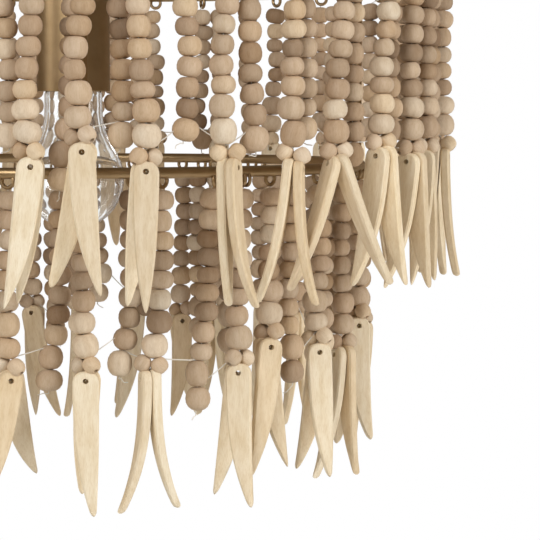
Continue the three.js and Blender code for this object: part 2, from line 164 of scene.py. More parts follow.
class Parts:
    """Gathers many small closed meshes into one piece, each with its own tone, warmth and grain."""

    def __init__(self):
        self.points, self.faces, self.count = [], [], 0
        self.tones, self.warmths, self.grains = [], [], []

    def add(self, mesh, place=Matrix.Identity(4), tone=None):
        """Adds a mesh at its place. One that has a tone gets its own grain and warmth too."""
        points, faces = mesh
        local = np.asarray(points, float)
        matrix = np.array(place, float)
        self.points.append(local @ matrix[:3, :3].T + matrix[:3, 3])
        start = self.count
        self.faces.extend(tuple(index + start for index in face) for face in faces)
        self.count += len(local)
        shift, warmth = np.zeros(3), 0.5
        if tone is not None:
            generator = np.random.default_rng(random.randrange(1 << 30))
            shift, warmth = generator.uniform(-GRAIN_SHIFT, GRAIN_SHIFT, 3), generator.uniform()
        self.tones.append(np.full(len(local), 0.5 if tone is None else tone))
        self.warmths.append(np.full(len(local), warmth))
        self.grains.append(local / MM + shift)

    def build(self, name, material, body, slot, *replaced):
        mesh = bpy.data.meshes.new(name)
        mesh.from_pydata(np.concatenate(self.points).tolist(), [], self.faces)
        for kind, values in (("tone", self.tones), ("warmth", self.warmths)):
            layer = mesh.attributes.new(kind, "FLOAT", "POINT")
            layer.data.foreach_set("value", np.concatenate(values).astype(np.float32))
        grain = mesh.attributes.new("grain", "FLOAT_VECTOR", "POINT")
        grain.data.foreach_set("vector", np.concatenate(self.grains).astype(np.float32).ravel())
        mesh.materials.append(material)
        mesh.shade_smooth()
        mesh.set_sharp_from_angle(angle=SMOOTH_ANGLE)
        mesh.update()
        piece = add_object(name, mesh)
        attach(piece, body)
        if replaced:
            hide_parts(*replaced)


def skin(rings, closed=False):
    """Faces from each ring of points to the next. A ring of one point gives triangles."""
    faces = []
    sides = max(len(ring) for ring in rings)
    for lower, upper in zip(rings, rings[1:] + rings[:1] if closed else rings[1:]):
        for side in range(sides):
            after = (side + 1) % sides
            around = ((lower, side), (lower, after), (upper, after), (upper, side))
            faces.append(tuple(dict.fromkeys(ring[place % len(ring)] for ring, place in around)))
    return faces


def lathe(profile, sides):
    """A turned mesh about Z. A profile that starts and ends off the axis closes on itself."""
    points, rings = [], []
    for radius, level in profile:
        count = sides if radius else 1
        rings.append(range(len(points), len(points) + count))
        for side in range(count):
            angle = TURN * side / sides
            points.append((radius * cos(angle), radius * sin(angle), level))
    return points, skin(rings, closed=bool(profile[0][0] and profile[-1][0]))


def tube(path, radius, sides, closed=False):
    """A round tube along a list of points, capped where it is open."""
    path = [Vector(point) for point in path]
    last = len(path) - 1
    points, rings = [], []
    side_way = None
    for index, centre in enumerate(path):
        if closed:
            step = path[(index + 1) % len(path)] - path[index - 1]
        else:
            step = path[min(index + 1, last)] - path[max(index - 1, 0)]
        tangent = step.normalized()
        side_way = side_way or tangent.orthogonal().normalized()
        side_way = (side_way - tangent * side_way.dot(tangent)).normalized()
        other_way = tangent.cross(side_way)
        rings.append(range(len(points), len(points) + sides))
        for side in range(sides):
            angle = TURN * side / sides
            way = cos(angle) * side_way + sin(angle) * other_way
            points.append(tuple(centre + radius * way))
    faces = skin(rings, closed)
    if not closed:
        faces += [tuple(rings[0])[::-1], tuple(rings[-1])]
    return points, faces


def circle_path(radius, count, centre=(0, 0, 0), along=(0, 1, 0)):
    centre, across, along = Vector(centre), Vector((1, 0, 0)), Vector(along)
    turns = [TURN * index / count for index in range(count)]
    return [centre + across * radius * cos(turn) + along * radius * sin(turn) for turn in turns]


def rod(bottom, top, diameter):
    """A straight round bar between two heights, with its edges eased."""
    radius = diameter / 2
    inset = radius - ROD_EDGE
    profile = [
        (0, bottom), (inset, bottom), (radius, bottom + ROD_EDGE), (radius, top - ROD_EDGE),
        (inset, top), (0, top),
    ]
    return lathe(profile, ROD_SIDES)


def bead_mesh(size):
    """A drilled bead: flat at both ends, round between them."""
    diameter, height, flat = size
    radius = diameter / 2
    hole = BEAD_HOLE / 2
    rim = hole + BEAD_DIMPLE
    profile = [(hole, -height / 2 + BEAD_DIMPLE), (rim, -height / 2)]
    for step in range(BEAD_STEPS + 1):
        angle = pi * step / BEAD_STEPS
        reach = sin(angle) ** BEAD_BELLY_POWER if 0 < step < BEAD_STEPS else 0
        profile.append((radius * (flat + (1 - flat) * reach), -height / 2 * cos(angle)))
    profile += [(rim, height / 2), (hole, height / 2 - BEAD_DIMPLE)]
    return lathe(profile, BEAD_SIDES)


def tusk_mesh(length, width, tip_width, point_side, bow):
    """A carved blade hung by the hole near its top. X is across it, -Y is its front, Z is up, and
    the hole's centre is at the origin. Its point curls towards the given side."""
    columns = (-1, -0.5, 0, 0.5, 1)
    shoulder = TUSK_HOLE_DEPTH * 2

    def blade_half(depth):
        taper, softening = TUSK_TAPER_POWERS
        full_share = (1 - min(depth / length, 1) ** taper) ** softening
        return (tip_width + (width - tip_width) * full_share) / 2

    def end_share(depth):
        """1 along the blade, less over its rounded end."""
        past = max(depth - length + TUSK_TIP_ROUND, 0) / TUSK_TIP_ROUND
        return sqrt(max(1 - past * past, TUSK_TIP_LEAST_SHARE))

    def half_width(depth):
        if depth >= width / 2:
            return blade_half(depth) * end_share(depth)
        crown = min(1 - depth / (width / 2), 1)
        return width / 2 * (1 - crown ** TUSK_CROWN_POWER) ** (1 / TUSK_CROWN_POWER)

    flat_points, inset_points = [], []

    def add(flat_point, inset_point=None):
        """A point of the outline, and where it lies on the faces, inside the bevel."""
        flat_points.append(flat_point)
        inset_points.append(inset_point or flat_point)
        return len(flat_points) - 1

    grid = []
    for row in range(TUSK_ROWS + 1):
        share = 1 - (1 - row / TUSK_ROWS) ** 1.5
        depth = shoulder + (length - shoulder) * share
        half = half_width(depth)
        inner = max(half - TUSK_BEVEL, half * TUSK_FLAT_LEAST_SHARE)
        inner_depth = shoulder + (length - TUSK_BEVEL - shoulder) * share
        row_points = []
        for column in columns:
            inset = inner if abs(column) == 1 else half
            row_points.append(add((column * half, depth), (column * inset, inner_depth)))
        grid.append(row_points)
    crown = []
    for step in range(TUSK_CROWN_POINTS):
        share = (step + 1) / (TUSK_CROWN_POINTS + 1)
        depth = shoulder * abs(1 - 2 * share) ** 1.6
        across = half_width(depth) * (-1 if share < 0.5 else 1)
        toward = Vector((-across, TUSK_HOLE_DEPTH - depth)).normalized() * TUSK_BEVEL
        crown.append(add((across, depth), (across + toward.x, depth + toward.y)))
    outer = crown + grid[0][::-1]
    hole, middle = [], []
    for index in outer:
        across, depth = flat_points[index]
        way = Vector((across, depth - TUSK_HOLE_DEPTH)).normalized()
        rim_point = (way.x * TUSK_HOLE / 2, TUSK_HOLE_DEPTH + way.y * TUSK_HOLE / 2)
        hole.append(add(rim_point))
        middle.append(add(tuple(
            near * (1 - TUSK_COLLAR_SHARE) + far * TUSK_COLLAR_SHARE
            for near, far in zip(rim_point, inset_points[index])
        )))
    quads = skin([outer, middle, hole])
    for row, below in zip(grid, grid[1:]):
        for column in range(len(columns) - 1):
            quads.append((row[column], below[column], below[column + 1], row[column + 1]))
    left = [row[0] for row in grid][::-1]
    right = [row[-1] for row in grid]
    rim = left + crown + right + grid[-1][1:-1][::-1]

    points = []

    def add_layer(outline, side, sunk=0):
        """Puts an outline on the front, side 1, or the back, side -1. Gives its first point."""
        first = len(points)
        for across, depth in outline:
            share = max(depth, 0) / length
            thinning = 1 - TUSK_THINNING_SHARE * share ** 2
            half_thickness = TUSK_THICKNESS / 2 * thinning * (1 + end_share(depth)) / 2
            reach = max(half_width(max(depth, 0.1 * MM)), MM)
            ridge = TUSK_RIDGE * (1 - min(abs(across) / reach, 1))
            lost = 0 if depth < width / 2 else width / 2 - blade_half(depth)
            points.append((
                across + point_side * (lost + TUSK_CURL * share ** TUSK_CURL_POWER),
                -side * (half_thickness - sunk + ridge) - bow * share ** TUSK_BOW_POWER,
                TUSK_HOLE_DEPTH - depth,
            ))
        return first

    rim_outline = [flat_points[index] for index in rim]
    add_layer(inset_points, 1)
    back = add_layer(inset_points, -1)
    front_edge = add_layer(rim_outline, 1, TUSK_BEVEL)
    back_edge = add_layer(rim_outline, -1, TUSK_BEVEL)
    faces = [quad[::-1] for quad in quads]
    faces += [tuple(index + back for index in quad) for quad in quads]
    faces += skin([
        rim, range(front_edge, back_edge), range(back_edge, len(points)),
        [index + back for index in rim],
    ])
    for place, index in enumerate(hole):
        following = hole[(place + 1) % len(hole)]
        faces.append((following, index, back + index, back + following))
    return points, faces


# Materials


class Nodes:
    """The nodes of a material or of the world, with short ways to add the kinds used here."""

    def __init__(self, tree):
        self.nodes = tree.nodes
        self.links = tree.links

    def fill(self, node, inputs):
        """Sets inputs of a node, each to a value or to what another node gives."""
        for name, value in inputs.items():
            if isinstance(value, bpy.types.NodeSocket):
                self.links.new(value, node.inputs[name])
            else:
                node.inputs[name].default_value = value

    def add(self, kind, inputs=None):
        node = self.nodes.new(f"ShaderNode{kind}")
        self.fill(node, inputs or {})
        return node

    def place(self):
        return self.add("TexCoord").outputs["Object"]

    def attribute(self, name, output):
        node = self.add("Attribute")
        node.attribute_name = name
        return node.outputs[output]

    def noise(self, vector, scale, detail, stretch=(1, 1, 1)):
        mapping = self.add("Mapping", {"Scale": stretch, "Vector": vector})
        texture = self.add("TexNoise", {"Scale": scale, "Detail": detail, "Roughness": 0.55})
        self.links.new(mapping.outputs["Vector"], texture.inputs["Vector"])
        return texture.outputs["Fac"]

    def ramp(self, factor, *stops):
        node = self.add("ValToRGB", {"Fac": factor})
        elements = node.color_ramp.elements
        while len(elements) < len(stops):
            elements.new(0.5)
        for element, (place, colour) in zip(elements, stops):
            element.position = place
            element.color = (*colour, 1)
        return node.outputs["Color"]

    def map_range(self, value, low, high, start=0, end=1):
        """Goes from low to high while the value goes from start to end."""
        inputs = {"Value": value, "From Min": start, "From Max": end, "To Min": low, "To Max": high}
        return self.add("MapRange", inputs).outputs["Result"]

    def multiply(self, first, second, amount):
        node = self.add("Mix")
        node.data_type = "RGBA"
        node.blend_type = "MULTIPLY"
        self.fill(node, {"Factor": amount, "A": first, "B": second})
        return node.outputs["Result"]

    def combine(self, operation, first, second):
        node = self.add("Math", {0: first, 1: second})
        node.operation = operation
        return node.outputs[0]

    def bump(self, height, strength, distance):
        inputs = {"Height": height, "Strength": strength, "Distance": distance}
        return self.add("Bump", inputs).outputs["Normal"]


def new_material(name):
    material = bpy.data.materials.new(name)
    material.use_nodes = True
    tree = material.node_tree
    return material, Nodes(tree), tree.nodes["Principled BSDF"]


def wood_material(name, stops, hues, grain_colour, roughness):
    """Raw wood: a tone for each piece, streaks along its grain, fine pores and a little sheen."""
    material, nodes, shader = new_material(name)
    grain = nodes.attribute("grain", "Vector")
    broad = nodes.noise(grain, 1, 3, (0.34, 0.34, 0.07))
    fine = nodes.noise(grain, 1, 4, (2.2, 2.2, 0.3))
    tone = nodes.ramp(nodes.attribute("tone", "Fac"), *stops)
    hue = nodes.ramp(nodes.attribute("warmth", "Fac"), *hues)
    streaks = nodes.ramp(broad, (0.3, grain_colour), (0.62, WHITE))
    pores = nodes.ramp(fine, (0.34, grain_colour), (0.52, WHITE))
    streaked = nodes.multiply(nodes.multiply(tone, hue, 1), streaks, 0.8)
    nodes.fill(shader, {
        "Base Color": nodes.multiply(streaked, pores, 0.55),
        "Roughness": roughness,
        "Specular IOR Level": 0.3,
        "Normal": nodes.bump(fine, 0.35, 0.12 * MM),
    })
    return material


def metal_material(name, colour, dark, roughness):
    """Brushed metal with a slightly uneven, aged tone."""
    material, nodes, shader = new_material(name)
    place = nodes.place()
    patina = nodes.noise(place, 60, 4)
    brushed = nodes.noise(place, 900, 2, (1, 1, 0.06))
    nodes.fill(shader, {
        "Base Color": nodes.ramp(patina, (0.35, dark), (0.62, colour)),
        "Metallic": 1,
        "Roughness": nodes.map_range(patina, roughness - 0.06, roughness + 0.1),
        "Normal": nodes.bump(brushed, 0.08, 0.05 * MM),
    })
    return material


def plain_material(name, colour, roughness):
    """An even colour with faint speckles."""
    material, nodes, shader = new_material(name)
    speckle = nodes.noise(nodes.place(), 300, 3)
    darker = tuple(channel * 0.94 for channel in colour)
    nodes.fill(shader, {
        "Base Color": nodes.ramp(speckle, (0.3, darker), (0.7, colour)),
        "Roughness": roughness,
        "Normal": nodes.bump(speckle, 0.05, 0.05 * MM),
    })
    return material


def glass_material(name):
    """Clear glass with very slight waves."""
    material, nodes, shader = new_material(name)
    nodes.fill(shader, {
        "Base Color": (0.97, 0.98, 0.98, 1),
        "Roughness": 0.02,
        "IOR": 1.46,
        "Transmission Weight": 1,
        "Normal": nodes.bump(nodes.noise(nodes.place(), 12, 1), 0.02, 0.1 * MM),
    })
    return material


# Wood tones from the darkest piece to the palest, hues from greyish to yellowish, and the grain
WHITE = (1, 1, 1)
bead_wood = wood_material(
    "bead_wood",
    (
        (0, (0.31, 0.21, 0.135)), (0.3, (0.48, 0.35, 0.24)),
        (0.62, (0.61, 0.465, 0.33)), (1, (0.78, 0.655, 0.505)),
    ),
    ((0, (0.95, 0.985, 1)), (0.5, WHITE), (1, (1, 0.965, 0.87))),
    (0.84, 0.79, 0.72),
    0.62,
)
tusk_wood = wood_material(
    "tusk_wood",
    ((0, (0.65, 0.5, 0.34)), (0.35, (0.78, 0.66, 0.5)), (1, (0.9, 0.8, 0.64))),
    ((0, (0.99, 1, 0.98)), (1, (1, 0.965, 0.88))),
    (0.86, 0.8, 0.7),
    0.55,
)
brass = metal_material("antique_brass", (0.45, 0.32, 0.18), (0.38, 0.265, 0.14), 0.4)
contact_brass = metal_material("contact_brass", (0.66, 0.5, 0.25), (0.52, 0.38, 0.18), 0.32)
steel = metal_material("zinc_steel", (0.52, 0.52, 0.51), (0.4, 0.4, 0.4), 0.38)
tungsten = metal_material("tungsten", (0.3, 0.29, 0.28), (0.2, 0.2, 0.2), 0.4)
nylon = plain_material("nylon_line", (0.8, 0.77, 0.7), 0.35)

# Materials of the frame's and the bulb's pieces, by slot
FINISHES = {
    "brass": brass,
    "porcelain": plain_material("porcelain", (0.82, 0.8, 0.75), 0.22),
    "cap_metal": metal_material("cap_metal", (0.74, 0.73, 0.7), (0.6, 0.59, 0.56), 0.25),
    "glass": glass_material("clear_glass"),
}


# Stage


def place_camera(level):
    data = bpy.data.cameras.new("photo_view")
    data.sensor_width = SENSOR_WIDTH
    data.lens = SENSOR_WIDTH * FOCAL_PIXELS / PHOTO_PIXELS
    yaw = atan((PHOTO_PIXELS / 2 - AXIS_COLUMN) / FOCAL_PIXELS)
    pitch = atan((PHOTO_PIXELS / 2 - HORIZON_ROW) / FOCAL_PIXELS)
    camera = add_object("photo_view", data)
    camera.location = (0, -CAMERA_DISTANCE, level)
    camera.rotation_euler = (pi / 2 - pitch, 0, -yaw)
    bpy.context.scene.camera = camera


def seen_directly(nodes):
    """1 for rays from the camera, also through glass, 0 for light that falls on the object."""
    path = nodes.add("LightPath")
    return nodes.combine("MAXIMUM", path.outputs["Is Camera Ray"], path.outputs["Is Transmission Ray"])


def light_world(strength, bounce_colour):
    """White where it is seen. It lights the object as a dimmer room with a warm bounce."""
    world = bpy.data.worlds.new("studio")
    bpy.context.scene.world = world
    world.use_nodes = True
    nodes = Nodes(world.node_tree)
    seen = seen_directly(nodes)
    nodes.fill(world.node_tree.nodes["Background"], {
        "Color": nodes.ramp(seen, (0, bounce_colour), (1, WHITE)),
        "Strength": nodes.map_range(seen, strength, 1),
    })


def lay_floor(level, radius):
    """A pale disc, which fades into the white behind it before its rim."""
    mesh = bpy.data.meshes.new("studio_floor")
    rim = circle_path(radius, 96, (0, 0, level))
    mesh.from_pydata([tuple(point) for point in rim], [], [tuple(range(len(rim)))])
    floor = add_object("studio_floor", mesh)
    material, nodes, shader = new_material("studio_floor")
    nodes.fill(shader, {"Base Color": (0.9, 0.9, 0.89, 1), "Roughness": 0.9})
    distance = nodes.add("VectorMath", {0: nodes.place()})
    distance.operation = "LENGTH"
    fade = nodes.map_range(
        distance.outputs["Value"], FLOOR_WHITE_SHARE, 1, radius * FADE_SHARES[0], radius * FADE_SHARES[1]
    )
    white = nodes.combine("MULTIPLY", fade, seen_directly(nodes))
    glow = nodes.add("Emission").outputs["Emission"]
    mixed = nodes.add("MixShader", {"Fac": white, 1: shader.outputs["BSDF"], 2: glow})
    nodes.fill(material.node_tree.nodes["Material Output"], {"Surface": mixed.outputs["Shader"]})
    mesh.materials.append(material)


def area_light(name, place, size, power, in_mirrors):
    data = bpy.data.lights.new(name, "AREA")
    data.shape = "DISK"
    data.size = size
    data.energy = power
    lamp = add_object(name, data)
    lamp.location = place
    lamp.visible_glossy = in_mirrors
    lamp.rotation_euler = (Vector(middle) - Vector(place)).to_track_quat("-Z", "Y").to_euler()


sways = {
    tier: [joint for joint in frame["joints"] if joint["name"].startswith(f"{tier}_sway_")]
    for tier in TIERS
}
ring_level = {tier: sways[tier][0]["pos_m"][2] for tier in TIERS}
ring_radius = {tier: hypot(*sways[tier][0]["pos_m"][:2]) for tier in TIERS}
# The lamps are aimed at the middle of the curtains
middle = (0, 0, (ring_level["upper"] + ring_level["lower"]) / 2 - 50 * MM)

bpy.context.scene.view_settings.view_transform = "Standard"
place_camera(ring_level["lower"] + CAMERA_OVER_LOWER_RING)
light_world(ROOM_LIGHT, ROOM_COLOUR)
lay_floor(FLOOR_LEVEL, FLOOR_RADIUS)
for lamp in LAMPS:
    area_light(*lamp)


# Bead curtains


def heading(angle):
    """Outward and sideways directions at an angle measured from -Y towards +X."""
    return Vector((sin(angle), -cos(angle), 0)), Vector((cos(angle), sin(angle), 0))


# A tusk leans in its own plane and tilts out of it, in degrees, curls to its point on one side,
# and bends outward, in millimetres. The two of a pair hang back to back.
Tusk = namedtuple("Tusk", "lean tilt point bow length_share", defaults=(1,))
# A strand stands off its even place by some degrees, its foot leans sideways and its tusks' hole
# lies below the ring in millimetres, it has some plain beads above the two larger ones, and its
# pair of tusks is turned about the thread from facing the camera.
Hung = namedtuple("Hung", "offset lean depth beads turn first second")
# The strands that the photograph shows, in front and through the gaps at the back, by tier and
# count from the front
SEEN = {"upper": {
    -1: (3.3, -3, 104, 6, 6, (6, 1, -0.7, 4), (3, 0, -0.4, 3)),
    0: (-0.4, -0.8, 96.6, 5, 2, (-2, 1, 0.7, 5), (9, 0, -0.7, 4)),
    1: (-3.5, 4.7, 105, 6, -3, (1, 1, 0.1, 4), (5, 0, -0.3, 4)),
    2: (-0.9, 1, 103, 6, 66, (0, 0, 0, 12), (0, 0, 0, -2)),
    3: (-0.1, -1, 105, 6, 77, (0, 0, 0, 9), (0, 6, 0, 9)),
    4: (-0.7, -7.5, 104, 6, -69, (0, 15, 0, 7), (0, 20, 0, 6)),
    5: (-0.8, -7, 100.8, 6, -40, (5, 1, -0.6, 6), (-3, 2, 0.5, 6)),
    6: (-2.7, -4.5, 104.5, 6, -38, (5, 1, -0.5, 5), (-2, 1, 0.4, 5)),
    7: (-6.5, -3, 103, 6, -20, (2, 1, -0.3, 5), (-3, 2, 0.2, 6)),
    8: (-1, 0, 102, 6, 76, (0, 1, 0, 6), (0, 3, 0, 5)),
    16: (3.2, 0, 103, 6, 200, (3, 1, -0.4, 4), (-2, 1, 0.4, 4)),
    17: (1, 0, 101, 6, 5, (-5, 1, 1, 5), (3, 1, 0.5, 4)),
}, "lower": {
    -1: (-1.3, 0, 108, 6, 12, (9, 2, -1, 8), (-11, 24, 1, 10)),
    0: (0.7, -1.6, 107.8, 6, 0, (0, 0, 0.45, 3), (4, 0, 0.1, 3, 0.88)),
    1: (2, -6.7, 107.5, 6, -78, (0, 0, 0, 13.5), (0, 0, 0, 12.5)),
    2: (5.8, -1.6, 106.9, 6, -12, (0, 1, 0.9, 7), (6, 1, -0.8, 9)),
    3: (0.4, 0, 93.5, 5, 12, (5, 1, -0.8, 5), (-6, 1, 0.8, 5)),
    4: (2.1, 0, 101.3, 6, 6, (-2, 1, 0.3, 4), (4, 2, -0.7, 8)),
    5: (0.9, 0, 105, 6, -64, (0, 4, 0, 10), (0, 0, 0, 7)),
    6: (0, 0, 92, 5, 8, (0.5, 1, 0.8, 4, 0.93), (4, 1, -0.5, 4)),
    7: (0.5, -2, 97, 5, 4, (5, 1, -0.5, 4, 0.9), (2, 1, -0.3, 4, 0.9)),
    13: (-2.8, 0, 107, 6, 4, (0, 1, -0.9, 4, 0.9), (-6, 1, 0.7, 4, 0.96)),
    14: (-3.2, 0, 104, 6, 10, (5, 1, -1, 5), (3, 1, -0.8, 4, 0.9)),
    -15: (-2.7, 0, 104, 6, 80, (0, 1, 0, 6), (0, 1, 0, 6)),
    -14: (-3.4, 0, 104, 6, -8, (-9, 1, 1, 5), (2, 1, 0.2, 4)),
}}

# The plain strand after each: its place off the middle in degrees, its inset from the ring and
# its foot's lean in millimetres, and its number of beads above the end ones
SEEN_PLAIN = {"upper": {
    -2: (4.2, 5, 2, 7), -1: (3.3, 18, -4, 7), 0: (-0.4, 10, 0, 7), 1: (-1.3, 4, -3.5, 7),
    2: (-2.6, 3, 5.5, 7), 3: (-1.8, 8, 1, 7), 4: (-2.1, 7, 0, 8), 5: (-3.2, 5, 0, 7),
    6: (-4, 9, 0, 7), 7: (-3, 5, 0, 7), 16: (1.5, 6, 0, 7),
}, "lower": {
    -1: (1.7, 12.5, -6, 8), 0: (2.8, 7, -6.3, 7), 1: (6.2, 5, -7, 9), 2: (0.8, 13, 0, 6),
    3: (1.2, 4, 2, 8), 4: (1.5, 5, 0, 7), 5: (-1.5, 8, 0, 7), 12: (-1.5, 6, 0, 8),
    13: (-1, 6, 0, 7), 14: (-1.2, 15.5, 0, 6), -15: (-2.5, 6, 0, 8),
}}

# A drop's last plain strand sways with the next drop where it hangs close behind it
RIDES_WITH_NEXT = {("upper", -1)}

# Larger beads at the foot of a plain strand, and more of them on the strands named here
END_BEADS = {"upper": 1, "lower": 2}
MORE_END_BEADS = {("upper", -1): 2}

# How far a strand bends sideways at each of these depths below the first, in millimetres. A plain
# strand is counted half a place after the one before it.
BEND_DEPTHS = (0, 25, 50, 75, 100)
SEEN_BENDS = {"upper": {
    -1: (-0.2, -2.8, -2.8, 0), -0.5: (0.8, 1, 0.8, -2.6), 0: (-0.5, -4.4, -2.4, 0),
    0.5: (0.5, 2, 2, 0), 1: (-0.4, -0.8, 1.8, 0), 1.5: (0.5, 3, 3.5, 0),
    2: (-0.3, -3.7, -3.7, 0), 2.5: (0.5, -0.5, 0, 0), 3: (-0.5, -2.2, -2.4, 0),
    4: (0, -0.7, -2.4, 0), 5: (0, -2.9, -0.7, 0), 6: (-0.5, -2.5, 0, 0), 7: (0, 0, 2, 0),
    8: (0, 1, 1.5, 0),
}, "lower": {
    -0.5: (1.5, 3, 3.4, 0), 0: (-1, -2.4, -1.8, 0), 0.5: (1.6, 3.1, 4, 0),
    1: (1.5, 3.2, 3.5, 0), 1.5: (1.5, 3, 3, 0), 2: (0, 0.5, -2, 0),
}}

# How a strand that isn't listed wanders sideways, and hangs inward, in millimetres
WANDER = (0, 1.3)
HANG_OUT = (-0.5, 0.6)

bead_meshes = {size: bead_mesh(size) for size in (BEAD, LARGE_BEAD, END_BEAD, SMALL_BEAD)}
eyelet_path = circle_path((EYELET_OUTER - EYELET_WIRE) / 2, EYELET_STEPS, along=(0, 0, 1))
eyelet_mesh = tube(eyelet_path, EYELET_WIRE / 2, EYELET_SIDES, closed=True)


def turned(in_degrees, axis):
    return Matrix.Rotation(radians(in_degrees), 4, axis)


def clamped_gauss(mean, spread, least, most):
    return min(max(random.gauss(mean, spread), least), most)


def tusk_strand(tier, number, angle):
    """Where a strand with tusks hangs, and how. One that isn't listed is drawn at random."""
    if number in SEEN[tier]:
        *hanging, first, second = SEEN[tier][number]
        return Hung(*hanging, Tusk(*first), Tusk(*second))
    edge_on = random.random() < 0.5
    # Strands at a drop's ends spread their tusks less, to leave room for the next drop's sway
    spread = 1 if number % STRANDS_PER_DROP == 1 else 0.7
    pair = []
    for side in (1, -1):
        if edge_on:
            lean, tilt, bow = random.uniform(-3, 3), random.uniform(0, 5), random.uniform(6, 13)
            pair.append(Tusk(lean, tilt * spread, 0, bow * spread))
        else:
            lean, point = side * random.uniform(-1, 5) * spread, -side * random.uniform(0.1, 0.8)
            pair.append(Tusk(lean, random.uniform(0, 1), point, random.uniform(2, 5)))
    twist = random.choice((-1, 1)) * random.uniform(66, 84) if edge_on else random.uniform(-30, 30)
    offset = random.uniform(0.3 if number % STRANDS_PER_DROP == 0 else -1.5, 1.5)
    lean, depth = random.uniform(-2, 2), random.uniform(99, 106)
    return Hung(offset, lean, depth, 6, degrees(angle) + twist, *pair)


def plain_strand(tier, number):
    """Where a strand without tusks hangs, and its beads. One that isn't listed is drawn."""
    if number in SEEN_PLAIN[tier]:
        return SEEN_PLAIN[tier][number]
    count = random.choice((7, 7, 8) if tier == "upper" else (7, 8, 9))
    last_of_drop = number % STRANDS_PER_DROP == STRANDS_PER_DROP - 1
    offset = random.uniform(-1.2, -0.2 if last_of_drop else 1)
    inset = random.uniform(7, 9) if last_of_drop else random.uniform(4, 8)
    return offset, inset, random.uniform(-2, 2), count


strand_count = {tier: len(sways[tier]) * STRANDS_PER_DROP for tier in TIERS}
# Where the strands come to hang, for an eyelet each
eyelet_angles = {tier: [] for tier in TIERS}


class Strand:
    """One thread of beads from its eyelet down, leaning and bending a little."""

    def __init__(self, tier, place, angle, inset, lean):
        self.outward, self.sideways = heading(angle)
        self.top = self.outward * (ring_radius[tier] - inset)
        self.top.z = ring_level[tier]
        self.lean = lean
        loose = [random.gauss(*WANDER) for _ in BEND_DEPTHS[1:]]
        self.bends = [0, *SEEN_BENDS[tier].get(place, loose)]
        self.sway = [0] + [random.gauss(*HANG_OUT) for _ in BEND_DEPTHS[1:]]
        self.depth = BEAD_START
        hook = self.outward * ring_radius[tier]
        hook.z = ring_level[tier] - EYELET_HOOK
        self.thread = [hook, self.at(BEAD_START)]
        eyelet_angles[tier].append(angle)

    def at(self, depth):
        level = depth / MM
        side = self.lean * level / BEND_DEPTHS[-1] + np.interp(level, BEND_DEPTHS, self.bends) * MM
        out = np.interp(level, BEND_DEPTHS, self.sway) * MM
        return self.top + self.sideways * side + self.outward * out - Vector((0, 0, depth))

    def thread_bead(self, beads, size, tone, fit=1):
        """Threads the next bead; its height follows how closely the strand's beads must fit."""
        stretch = fit * clamped_gauss(1, *BEAD_HEIGHT_SHARES)
        width = clamped_gauss(1, *BEAD_WIDTH_SHARES)
        height = size[1] * stretch
        centre = self.at(self.depth + height / 2) + self.sideways * random.gauss(0, BEAD_SHIFT)
        tilt = turned(random.gauss(0, BEAD_TILT), random_level_axis())
        spin = Matrix.Rotation(random.uniform(0, TURN), 4, "Z")
        breadth = width * random.uniform(*BEAD_OVAL_SHARES)
        scale = Matrix.Diagonal((width, breadth, stretch * BEAD_FILL_SHARE, 1))
        place = Matrix.Translation(centre) @ tilt @ spin @ scale
        beads.add(bead_meshes[size], place, tone)
        self.depth += height
        self.thread.append(self.at(self.depth))

    def thread_beads(self, beads, sizes, bottom):
        """Threads beads of the given sizes, which fill the strand down to a depth."""
        for place, size in enumerate(sizes):
            fit = (bottom - self.depth) / sum(left[1] for left in sizes[place:])
            paler = 0.2 if size == LARGE_BEAD else 0
            self.thread_bead(beads, size, bead_tone(paler), fit)


def random_level_axis():
    angle = random.uniform(0, TURN)
    return Vector((cos(angle), sin(angle), 0))


def bead_tone(paler=0):
    """Most beads are pale, some are browner or darker."""
    return clamped_gauss(0.48 + paler, 0.23, 0, 1)


def pair_turn(turn, facing):
    """The small beads hang half way between side by side and in line with the tusks' holes."""
    twist = (turn - facing + 180) % 360 - 180
    return facing + copysign(45 + abs(twist) / 2, twist) + random.uniform(-12, 12)


def hang_small_pair(strand, turn, beads):
    """Two small beads where the thread doubles back over the tusks."""
    diameter, height, _ = SMALL_BEAD
    across = turned(turn, "Z") @ Vector((0, -1, 0))
    hinge = Vector((0, 0, 1)).cross(across)
    for side in (-1, 1):
        centre = strand.at(strand.depth + height * SMALL_PAIR_SHARE / 2)
        centre += across * side * diameter * random.uniform(0.47, 0.5)
        centre.z += side * random.uniform(-1.1, 1.1) * MM
        place = Matrix.Translation(centre) @ turned(-side * random.uniform(28, 55), hinge)
        beads.add(bead_meshes[SMALL_BEAD], place, bead_tone(0.3))
    strand.depth += height * SMALL_PAIR_SHARE


